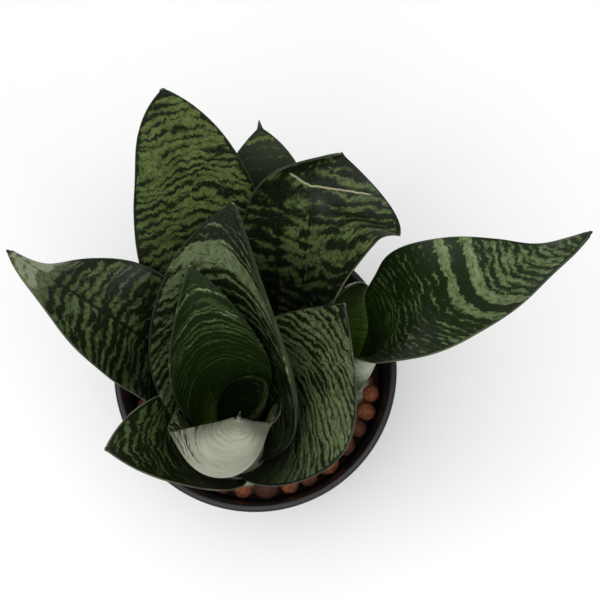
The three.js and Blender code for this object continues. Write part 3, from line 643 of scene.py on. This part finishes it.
def leaf_material(name, look, leaf):
    g = Skin(name)
    across, along, inset, back = (g.attribute(k) for k in ("across", "along", "inset", "back"))
    seed, length = look["seed"], leaf["length"]
    value, level = band_value(g, look, length, across, along, inset)
    cut = MIDWAY * (1 - look["cover"])
    light_share = g.step(value, cut, cut + 0.035)
    grey = g.noise(g.cell(across, 0.09, along, 0.08, seed + 6.0))
    mottle = g.noise(g.cell(across, 0.45, level, 0.6, seed + 1.0), detail=3.0, roughness=0.6)
    light = g.tint(look["light"], shaded(look["light"], 0.82), grey, 0.35, 0.65)
    light = g.mix(g.step(mottle, 0.36, 0.48, 0.4, 0.0), light, shaded(look["light"], 1.35))
    light = g.tint(light, look["mid"], mottle, 0.48, 0.64, 0.8)
    light = g.mix(g.step(value, cut + 0.02, cut + 0.14, 0.35, 0.0), light, look["mid"])
    light = g.tint(light, look["bright"], value, cut + 0.3, cut + 0.45)
    flecks = g.noise(g.cell(across, 0.8, along, 1.0, seed + 11.0))
    dark = g.tint(look["dark"], look["mid"], flecks, 0.54, 0.68, 0.6)
    face = g.tint(dark, look["mid"], value, cut - 0.05, cut)
    face = g.mix(light_share, face, light)
    # The young green of the plain foot is partly a painted glow, raised on the inner leaves for light shining
    # through them.
    grown, green = look["young"] * length, look["young_green_and_glow"]
    fresh = g.tint(shaded(green, 0.5), shaded(green, 1.15), value, 0.0, 0.25)
    face = g.mix(g.step(along, 0.65 * grown, 1.2 * grown + 0.1, 0.92, 0.0), face, fresh)
    # Painted light toward the foot: the face is darkened there as in the shade deep in the rosette, or
    # brightened as by light shining through the blade, as the look's first number says.
    share, start, end = look["painted_foot_light"]
    face = g.dim(face, g.times(g.step(along, start, end, share, 1.0), g.step(flecks, 0.3, 0.7, 1.14, 0.86)))
    lines = g.noise(g.cell(across, 0.06, level, 1.3, seed + 3.0), detail=3.0, roughness=0.7)
    near_rim = g.add(g.step(inset, 14.0, 2.0, 0.0, 0.2), g.step(along, length - 14, length - 2, 0.0, 0.12))
    line_colour = g.tint(shaded(look["back"], 0.72), look["back_line"], inset, 12.0, 4.0)
    pale = g.tint(look["back"], line_colour, g.add(lines, near_rim), 0.47, 0.62, 0.85)
    pale = g.tint(pale, shaded(look["back"], 1.25), lines, 0.44, 0.34, 0.6)
    pale = g.dim(pale, g.step(grey, 0.3, 0.7, 1.08, 0.84))
    back_cut = MIDWAY * (1 - look["back_cover"]) - 0.12
    start, end, rise = look["stain"]
    stained = g.minus(value, g.step(across, start, end, 0.0, rise))
    under = g.tint(look["mid"], pale, stained, back_cut - 0.06, back_cut + 0.06)
    colour = g.tint(face, under, back, 0.62, 0.8)
    worn = g.step(g.noise(g.vector(g.times(along, 0.1), back, seed + 8.0)), 0.38, 0.62, 0.35, 1.0)
    margin = g.times(g.step(inset, 0.05, -0.2), worn)
    colour = g.mix(g.times(margin, look["margin_share"]), colour, look["margin"])
    reach, dry = look["cap"]
    colour = g.tint(colour, dry, along, length - reach, length - 0.6 * reach)
    if "scar" in leaf:
        colour = scarred(g, leaf["scar"], across, along, colour)
    fibres = g.noise(g.cell(across, 3.2, along, 0.22, seed), detail=3.0, roughness=0.6)
    grain = g.noise(g.cell(across, 4.0, along, 4.0, seed))
    height = g.add(g.times(fibres, 0.6), g.times(grain, 0.35), g.times(light_share, 0.12))
    return g.surface(Base_Color=colour, Roughness=g.step(grain, 0.3, 0.7, 0.42, 0.54),
                     Normal=g.bump(height, 0.25, 0.0004), Specular_IOR_Level=0.16)


def dress(piece, slot, *nodes):
    """Hands a finished piece to the frame."""
    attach(piece, "root")
    if nodes:
        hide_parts(*nodes)


def show(mesh, material=None):
    piece = bpy.data.objects.new(mesh.name, mesh)
    bpy.context.scene.collection.objects.link(piece)
    if material:
        mesh.materials.append(material)
    return piece


def aimed(name, data, spot, direction):
    """A camera or a lamp at a spot, looking in a direction."""
    thing = bpy.data.objects.new(name, data)
    thing.location = spot
    thing.rotation_euler = direction.to_track_quat("-Z", "Y").to_euler()
    bpy.context.scene.collection.objects.link(thing)
    return thing


def grow(shoot):
    """Makes the leaves of one shoot."""
    blade = bpy.context.scene.snake_blade
    for name, leaf in LEAVES.items():
        if leaf["shoot"] is shoot:
            look = {**PLAIN_LOOK, **LOOKS[name]}
            skin = leaf_material(name + "_skin", look, leaf)
            dress(show(leaf_mesh(name + "_blade", leaf, blade), skin), "leaf_blade", name)


def pot_inner_radius(z):
    return POT_FOOT_RADIUS + (POT_NECK_RADIUS - POT_FOOT_RADIUS) * z / (POT_HEIGHT - RIM_DEPTH) - POT_WALL


def rounded(points, radius):
    """An open outline with each of its corners replaced by a small arc."""
    out = [points[0]]
    for before, corner, after in zip(points, points[1:], points[2:]):
        a, b, c = (np.array(p, float) for p in (before, corner, after))
        reach = min(radius, CORNER_SHARE * np.linalg.norm(a - b), CORNER_SHARE * np.linalg.norm(c - b))
        start = b + (a - b) / np.linalg.norm(a - b) * reach
        end = b + (c - b) / np.linalg.norm(c - b) * reach
        for t in np.linspace(0, 1, CORNER_POINTS):
            out.append(tuple((1 - t) ** 2 * start + 2 * t * (1 - t) * b + t**2 * end))
    return out + [points[-1]]


def turned_mesh(name, outline, sides):
    """A closed solid of revolution from an outline that starts and ends on the axis, in mm."""
    inner = outline[1:-1]
    bearings = 2 * np.pi * np.arange(sides) / sides
    points = [(0, 0, outline[0][1] * MM), (0, 0, outline[-1][1] * MM)]
    for r, z in inner:
        points += [(r * MM * math.cos(b), r * MM * math.sin(b), z * MM) for b in bearings]

    def at(row, k):
        return 2 + row * sides + k % sides

    last = len(inner) - 1
    faces = []
    for k in range(sides):
        faces += [(0, at(0, k + 1), at(0, k)), (1, at(last, k), at(last, k + 1))]
        faces += [(at(row, k), at(row, k + 1), at(row + 1, k + 1), at(row + 1, k)) for row in range(last)]
    return smooth_mesh(name, points, faces)


def crown_mesh(name, shoot):
    """The short stub that a shoot's leaves stand on."""
    radius, bottom = shoot["radius"], -shoot["height"]
    corners = [(0, bottom), (radius - CROWN_BEVEL, bottom), (radius, bottom + CROWN_BEVEL),
               (radius, -GAP), (0, -GAP)]
    mesh = turned_mesh(name, rounded(corners, CROWN_ROUNDING), CROWN_SIDES)
    points = np.array([vertex.co for vertex in mesh.vertices]) / MM + (0, shoot["offset"], 0)
    mesh.vertices.foreach_set("co", shoot_to_plant(shoot, points).ravel())
    mesh.update()
    return mesh


def pot_outline():
    neck = POT_HEIGHT - RIM_DEPTH
    band_foot, band_top = neck - BAND_REACH, neck - BAND_GAP
    ring_in, ring_out = STANDING_RING
    lip = POT_HEIGHT - LIP_DEPTH

    def outer(z):
        return pot_inner_radius(z) + POT_WALL

    corners = [
        (0, 0), (BASE_DISC_RADIUS, 0), (BASE_DISC_RADIUS + RECESS, RECESS), (ring_in - RECESS, RECESS),
        (ring_in, 0), (ring_out, 0), (POT_FOOT_RADIUS, FOOT_RISE), (outer(FOOT_TURN), FOOT_TURN),
        (outer(band_foot), band_foot), (outer(band_foot + BAND_STEP) + BAND_PROUD, band_foot + BAND_STEP),
        (outer(band_top) + BAND_PROUD, band_top), (POT_RIM_RADIUS, neck), (POT_RIM_RADIUS, POT_HEIGHT),
        (pot_inner_radius(POT_HEIGHT), POT_HEIGHT), (pot_inner_radius(lip), lip),
        (pot_inner_radius(POT_FLOOR), POT_FLOOR), (0, POT_FLOOR),
    ]
    return rounded(corners, POT_ROUNDING)


def pot_material(pot):
    g = Skin("black_pot_plastic")
    place = g.place()
    moulding = g.noise(place, scale=2600.0)
    clouds = g.noise(place, scale=35.0, detail=4.0, roughness=0.6)
    scuffs = g.noise(g.stretched(place, 90.0, 900.0), detail=4.0, roughness=0.7)
    dust = g.times(g.step(scuffs, 0.56, 0.8), g.step(clouds, 0.4, 0.7))
    x, y, z = g.put("ShaderNodeSeparateXYZ", {"Vector": place}).outputs
    radius = g.put("ShaderNodeVectorMath", {0: g.vector(x, y)}, operation="LENGTH").outputs["Value"]
    taper = (POT_NECK_RADIUS - POT_FOOT_RADIUS) / (POT_HEIGHT - RIM_DEPTH)
    # Painted shade: whatever lies inside the line of the outer wall, such as the inner wall and the inner
    # part of the rim top, is darkened to 0.4 of its colour.
    inside_shade_depth = g.minus(radius, g.times(z, taper, POT_FOOT_RADIUS * MM))
    colour = g.tint(tuple(pot.colour) + (1,), srgb(33, 33, 35), clouds, 0.3, 0.75)
    colour = g.mix(g.times(dust, 0.35), colour, srgb(96, 92, 84))
    colour = g.dim(colour, g.step(inside_shade_depth, -0.8 * MM, -0.2 * MM, 0.4, 1.0))
    rough = g.step(clouds, 0.3, 0.7, pot.roughness - 0.06, pot.roughness + 0.1)
    height = g.add(g.times(moulding, 0.5), g.times(scuffs, 0.3))
    return g.surface(Base_Color=colour, Roughness=rough, Normal=g.bump(height, 0.2, 0.0002),
                     Specular_IOR_Level=0.3)


def seeded_random(seed):
    """Repeatable random numbers in 0..1"""
    factor, extra, size = RANDOM_RULE
    while True:
        seed = (seed * factor + extra) % size
        yield seed / size


def pebble_ring(random, ring, height, at_wall):
    """Balls of random size laid side by side round one ring: their centres and radii, in mm."""
    sizes, used = [], 0
    while used < 2 * math.pi * ring:
        sizes.append(PEBBLE_SMALL + (PEBBLE_LARGE - PEBBLE_SMALL) * next(random))
        used += sizes[-1]
    bearing = next(random) * 2 * math.pi
    spots = []
    for size in sizes:
        turn = 2 * math.pi * size / used
        to_wall = (PEBBLE_LARGE - size - PEBBLE_JITTER) / 2 if at_wall else 0
        out = ring + to_wall + (next(random) - 0.5) * PEBBLE_JITTER
        z = height - size * PEBBLE_SINK + (next(random) - 0.5) * PEBBLE_JITTER
        middle = bearing + turn / 2
        spots.append((Vector((out * math.cos(middle), out * math.sin(middle), z)), size / 2))
        bearing += turn
    return spots


def frame_surface(nodes):
    """The surface of some of the frame's nodes, in mm, for measuring distances to it."""
    points, faces = [], []
    for name in nodes:
        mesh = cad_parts[name].data
        start = len(points)
        points += [v.co / MM for v in mesh.vertices]
        faces += [[start + k for k in p.vertices] for p in mesh.polygons]
    return BVHTree.FromPolygons(points, faces)


def pebble_spots():
    """The upper layer follows the frame's pebbles; two lower ones show between them."""
    leaves = frame_surface(LEAVES)
    random = seeded_random(PEBBLE_SEED)
    outer = pot_inner_radius(BED_TOP) - GAP - PEBBLE_LARGE / 2
    spots = []
    for shift, drop in PEBBLE_LAYERS:
        ring = outer - shift
        while ring > 0:
            spots += pebble_ring(random, ring, BED_TOP - drop, ring == outer)
            ring -= PEBBLE_RING_STEP
    return [(centre, radius) for centre, radius in spots
            if leaves.find_nearest(centre)[3] > radius + PEBBLE_CLEARANCE]


def pebble_tree(material):
    """Geometry nodes that turn points with a radius and a tone into lumpy balls of fired clay."""
    g = Graph(bpy.data.node_groups.new("Clay pebbles", "GeometryNodeTree"))
    sockets = g.tree.interface.new_socket
    sockets("Spots", in_out="INPUT", socket_type="NodeSocketGeometry")
    for label, kind, value in (("Roundness", "NodeSocketInt", 2), ("Lumpiness", "NodeSocketFloat", 1.1 * MM),
                               ("Squash", "NodeSocketFloat", 0.06), ("Seed", "NodeSocketInt", PEBBLE_SEED)):
        sockets(label, in_out="INPUT", socket_type=kind).default_value = value
    sockets("Pebbles", in_out="OUTPUT", socket_type="NodeSocketGeometry")
    entry = g.put("NodeGroupInput").outputs
    ball = g.put("GeometryNodeMeshIcoSphere", {"Radius": 1.0, "Subdivisions": entry["Roundness"]})
    turn, flat = (g.put("FunctionNodeRandomValue", {"Max": (most,) * 3, "Seed": entry["Seed"]},
                        data_type="FLOAT_VECTOR").outputs["Value"] for most in (FULL_TURN, 1.0))
    radius = g.put("GeometryNodeInputNamedAttribute", {"Name": "radius"}).outputs["Attribute"]
    squashed = {0: flat, 1: g.times(entry["Squash"], -1.0), 2: (1.0, 1.0, 1.0)}
    lengths = g.put("ShaderNodeVectorMath", squashed, operation="MULTIPLY_ADD").outputs[0]
    balls = g.put("GeometryNodeInstanceOnPoints", {
        "Points": entry["Spots"], "Instance": ball.outputs["Mesh"], "Rotation": turn,
        "Scale": g.dim(lengths, radius)})
    lumps = g.put("ShaderNodeTexNoise", {"Scale": LUMP_SCALE, "Detail": 2.0}).outputs["Fac"]
    height = g.times(g.minus(lumps, 0.5), entry["Lumpiness"])
    out = g.dim(g.put("GeometryNodeInputNormal").outputs["Normal"], height)
    shape = balls.outputs["Instances"]
    for kind, inputs in (("GeometryNodeRealizeInstances", {}), ("GeometryNodeSetPosition", {"Offset": out}),
                         ("GeometryNodeSetShadeSmooth", {}),
                         ("GeometryNodeSetMaterial", {"Material": material})):
        shape = g.put(kind, {"Geometry": shape, **inputs}).outputs["Geometry"]
    g.put("NodeGroupOutput", {"Pebbles": shape})
    return g.tree


def pebble_material(pebbles):
    g = Skin("fired_clay")
    place = g.place()
    patches = g.noise(place, scale=160.0, detail=3.0)
    pores = g.put("ShaderNodeTexVoronoi", {"Vector": place, "Scale": 1500.0}).outputs["Distance"]
    grit = g.noise(place, scale=2200.0, detail=3.0, roughness=0.7)
    mottle = g.noise(place, scale=500.0, detail=3.0, roughness=0.6)
    dark, light = (tuple(colour) + (1,) for colour in (pebbles.dark_colour, pebbles.light_colour))
    colour = g.mix(g.attribute("tone"), dark, light)
    colour = g.tint(colour, srgb(84, 44, 28), patches, 0.45, 0.75, 0.6)
    colour = g.dim(colour, g.step(mottle, 0.3, 0.7, 0.62, 1.3))
    colour = g.tint(colour, srgb(44, 24, 18), pores, 0.3, 0.05, 0.55)
    colour = g.tint(colour, srgb(160, 112, 84), grit, 0.6, 0.8, 0.35)
    height = g.add(g.times(pores, 0.7), g.times(grit, 0.4))
    return g.surface(Base_Color=colour, Roughness=g.step(grit, 0.3, 0.7, 0.78, 0.95),
                     Normal=g.bump(height, 0.6, 0.0003))


def fill_material():
    g = Skin("clay_fill")
    grit = g.noise(g.place(), scale=300.0, detail=4.0, roughness=0.6)
    colour = g.tint(srgb(20, 12, 8), srgb(50, 29, 20), grit, 0.35, 0.7)
    return g.surface(Base_Color=colour, Roughness=0.95, Normal=g.bump(grit, 0.8, 0.001))


def crown_material():
    g = Skin("rootstock_skin")
    place = g.place()
    rings = g.noise(g.stretched(place, 60.0, 700.0), detail=3.0)
    spots = g.noise(place, scale=500.0, detail=3.0)
    colour = g.tint(srgb(118, 122, 100), srgb(150, 152, 132), rings, 0.35, 0.65)
    colour = g.tint(colour, srgb(96, 82, 58), spots, 0.55, 0.75, 0.7)
    return g.surface(Base_Color=colour, Roughness=0.6, Normal=g.bump(rings, 0.5, 0.0005))


class SnakeBladeSettings(bpy.types.PropertyGroup):
    row_step: bpy.props.FloatProperty(
        name="Row step", description="Distance between rows of faces along a blade",
        default=1.25 * MM, unit="LENGTH", subtype="DISTANCE")
    columns: bpy.props.IntProperty(
        name="Columns", description="Faces across a blade, an even number", default=48)
    foot_thickness: bpy.props.FloatProperty(
        name="Foot thickness", description="How thick a blade is where it leaves the rootstock",
        default=2.0 * MM, unit="LENGTH", subtype="DISTANCE")
    thickness: bpy.props.FloatProperty(
        name="Blade thickness", description="How thick a blade is along its middle",
        default=2.2 * MM, unit="LENGTH", subtype="DISTANCE")
    edge_thickness: bpy.props.FloatProperty(
        name="Margin thickness", description="How thick the rounded margin is",
        default=0.9 * MM, unit="LENGTH", subtype="DISTANCE")
    spine_width: bpy.props.FloatProperty(
        name="Tip spine width", description="Width of the spine at its root",
        default=1.3 * MM, unit="LENGTH", subtype="DISTANCE")


class SnakePotSettings(bpy.types.PropertyGroup):
    colour: bpy.props.FloatVectorProperty(
        name="Colour", description="Colour of the moulded plastic",
        default=srgb(21, 21, 23)[:3], subtype="COLOR", size=3)
    roughness: bpy.props.FloatProperty(
        name="Roughness", description="How matt the plastic is",
        default=0.42, min=0.1, max=0.9, subtype="FACTOR")


class SnakePebbleSettings(bpy.types.PropertyGroup):
    roundness: bpy.props.IntProperty(
        name="Roundness", description="Subdivisions of each ball", default=2, min=1, max=5)
    lumpiness: bpy.props.FloatProperty(
        name="Lumpiness", description="Height of the lumps on a ball",
        default=1.1 * MM, unit="LENGTH", subtype="DISTANCE")
    squash: bpy.props.FloatProperty(
        name="Squash", description="Most that a ball is shortened along a side",
        default=0.06, subtype="FACTOR")
    light_colour: bpy.props.FloatVectorProperty(
        name="Light clay", description="Colour of the palest balls",
        default=srgb(150, 84, 52)[:3], subtype="COLOR", size=3)
    dark_colour: bpy.props.FloatVectorProperty(
        name="Dark clay", description="Colour of the darkest balls",
        default=srgb(70, 40, 28)[:3], subtype="COLOR", size=3)


class SnakeStageSettings(bpy.types.PropertyGroup):
    elevation: bpy.props.FloatProperty(
        name="Elevation", description="Angle of the view above level",
        default=math.radians(80), subtype="ANGLE")
    distance: bpy.props.FloatProperty(
        name="Distance", description="From the camera to the point it looks at",
        default=0.65, unit="LENGTH", subtype="DISTANCE")
    lens: bpy.props.FloatProperty(
        name="Lens", description="Focal length on a 36 mm sensor", default=84.3, unit="CAMERA")
    sky: bpy.props.FloatProperty(
        name="Fill light", description="Strength of the even light from all round", default=0.52)
    key: bpy.props.FloatProperty(
        name="Key light", description="Power of the large soft light overhead", default=13.2)
    floor_colour: bpy.props.FloatVectorProperty(
        name="Floor", description="Colour of the plain floor",
        default=(0.9, 0.9, 0.9), subtype="COLOR", size=3)


class SNAKE_OT_pot(bpy.types.Operator):
    """Make the moulded pot with its rolled rim"""
    bl_idname = "snake_plant.pot"
    bl_label = "Pot"

    def execute(self, context):
        mesh = turned_mesh("pot_body", pot_outline(), POT_SIDES)
        piece = show(mesh, pot_material(context.scene.snake_pot))
        dress(piece, "pot_plastic", "pot")
        return {"FINISHED"}


class SNAKE_OT_pebbles(bpy.types.Operator):
    """Fill the pot with fired clay pebbles"""
    bl_idname = "snake_plant.pebbles"
    bl_label = "Pebbles"

    def execute(self, context):
        pebbles = context.scene.snake_pebbles
        spots = pebble_spots()
        tones = seeded_random(PEBBLE_SEED + 1)
        seeds = bpy.data.meshes.new("pebble_spots")
        seeds.from_pydata([centre * MM for centre, _ in spots], [], [])
        mark(seeds, "radius", [radius * MM for _, radius in spots])
        mark(seeds, "tone", [next(tones) for _ in spots])
        holder = show(seeds)
        modifier = holder.modifiers.new("Clay pebbles", "NODES")
        modifier.node_group = pebble_tree(pebble_material(pebbles))
        sockets = {item.name: item.identifier for item in modifier.node_group.interface.items_tree}
        for label, value in (("Roundness", pebbles.roundness), ("Lumpiness", pebbles.lumpiness),
                             ("Squash", pebbles.squash), ("Seed", PEBBLE_SEED)):
            modifier[sockets[label]] = value
        context.view_layer.update()
        mesh = bpy.data.meshes.new_from_object(holder.evaluated_get(context.evaluated_depsgraph_get()))
        bpy.data.objects.remove(holder)
        mesh.name = "pebble_layers"
        dress(show(mesh), "clay_pebbles", "pebble_bed")
        floor, top = POT_FLOOR + FILL_LIFT, BED_TOP - FILL_DROP
        bevel = floor + FILL_BEVEL
        outline = [(0, floor), (pot_inner_radius(floor) - FILL_BEVEL, floor),
                   (pot_inner_radius(bevel) - GAP, bevel), (pot_inner_radius(top) - GAP, top), (0, top)]
        dress(show(turned_mesh("pebble_fill", outline, POT_SIDES // 2), fill_material()), "clay_pebbles")
        return {"FINISHED"}


class SNAKE_OT_rootstocks(bpy.types.Operator):
    """Make the two rootstocks"""
    bl_idname = "snake_plant.rootstocks"
    bl_label = "Rootstocks"

    def execute(self, context):
        skin = crown_material()
        for name, shoot in (("main_crown", MAIN_SHOOT), ("side_crown", SIDE_SHOOT)):
            dress(show(crown_mesh(name + "_rootstock", shoot), skin), "rootstock", name)
        return {"FINISHED"}


class SNAKE_OT_main_leaves(bpy.types.Operator):
    """Make the leaves of the large shoot"""
    bl_idname = "snake_plant.main_leaves"
    bl_label = "Leaves of the large shoot"

    def execute(self, context):
        grow(MAIN_SHOOT)
        return {"FINISHED"}


class SNAKE_OT_side_leaves(bpy.types.Operator):
    """Make the leaves of the side shoot"""
    bl_idname = "snake_plant.side_leaves"
    bl_label = "Leaves of the side shoot"

    def execute(self, context):
        grow(SIDE_SHOOT)
        return {"FINISHED"}


class SNAKE_OT_stage(bpy.types.Operator):
    """Set the camera, a plain pale floor and soft light"""
    bl_idname = "snake_plant.stage"
    bl_label = "Stage"

    def execute(self, context):
        scene, stage = context.scene, context.scene.snake_stage
        target = Vector(VIEW_TARGET) * MM
        away = Vector((0, -math.cos(stage.elevation), math.sin(stage.elevation)))
        lens = bpy.data.cameras.new("view")
        lens.lens = stage.lens
        lens.sensor_width = SENSOR_WIDTH
        scene.camera = aimed("view", lens, target + away * stage.distance, -away)
        bpy.ops.mesh.primitive_plane_add(size=FLOOR_SIZE)
        floor = context.object
        floor.name = "floor"
        g = Skin("pale_floor")
        floor.data.materials.append(g.surface(Base_Color=tuple(stage.floor_colour) + (1,), Roughness=0.9))
        scene.world = bpy.data.worlds.new("soft_sky")
        scene.world.use_nodes = True
        sky = scene.world.node_tree.nodes["Background"]
        sky.inputs["Color"].default_value = (1, 1, 1, 1)
        sky.inputs["Strength"].default_value = stage.sky
        for name, spot, size, share in LAMPS:
            lamp = bpy.data.lights.new(name, "AREA")
            lamp.size = size
            lamp.energy = stage.key * share
            aimed(name, lamp, spot, target - Vector(spot))
        scene.view_settings.view_transform = "Standard"
        return {"FINISHED"}


class SNAKE_PT_panel(bpy.types.Panel):
    bl_label = "Snake Plant"
    bl_idname = "SNAKE_PT_panel"
    bl_space_type = "VIEW_3D"
    bl_region_type = "UI"
    bl_category = "Snake Plant"

    def draw(self, context):
        scene = context.scene
        for settings in (scene.snake_blade, scene.snake_pot, scene.snake_pebbles, scene.snake_stage):
            box = self.layout.box()
            for key in settings.bl_rna.properties.keys():
                if key not in ("rna_type", "name"):
                    box.prop(settings, key)
        for operator in OPERATORS:
            self.layout.operator(operator.bl_idname)


SETTINGS = {
    "snake_blade": SnakeBladeSettings, "snake_pot": SnakePotSettings,
    "snake_pebbles": SnakePebbleSettings, "snake_stage": SnakeStageSettings,
}
OPERATORS = (SNAKE_OT_stage, SNAKE_OT_pot, SNAKE_OT_pebbles, SNAKE_OT_rootstocks,
             SNAKE_OT_main_leaves, SNAKE_OT_side_leaves)


def register():
    for item in (*SETTINGS.values(), *OPERATORS, SNAKE_PT_panel):
        bpy.utils.register_class(item)
    for key, settings in SETTINGS.items():
        setattr(bpy.types.Scene, key, bpy.props.PointerProperty(type=settings))


def unregister():
    for key in SETTINGS:
        delattr(bpy.types.Scene, key)
    for item in (SNAKE_PT_panel, *reversed(OPERATORS), *SETTINGS.values()):
        bpy.utils.unregister_class(item)


def main():
    register()
    bpy.ops.snake_plant.stage()
    bpy.ops.snake_plant.pot()
    bpy.ops.snake_plant.pebbles()
    bpy.ops.snake_plant.rootstocks()
    bpy.ops.snake_plant.main_leaves()
    bpy.ops.snake_plant.side_leaves()


if __name__ == "__main__":
    main()
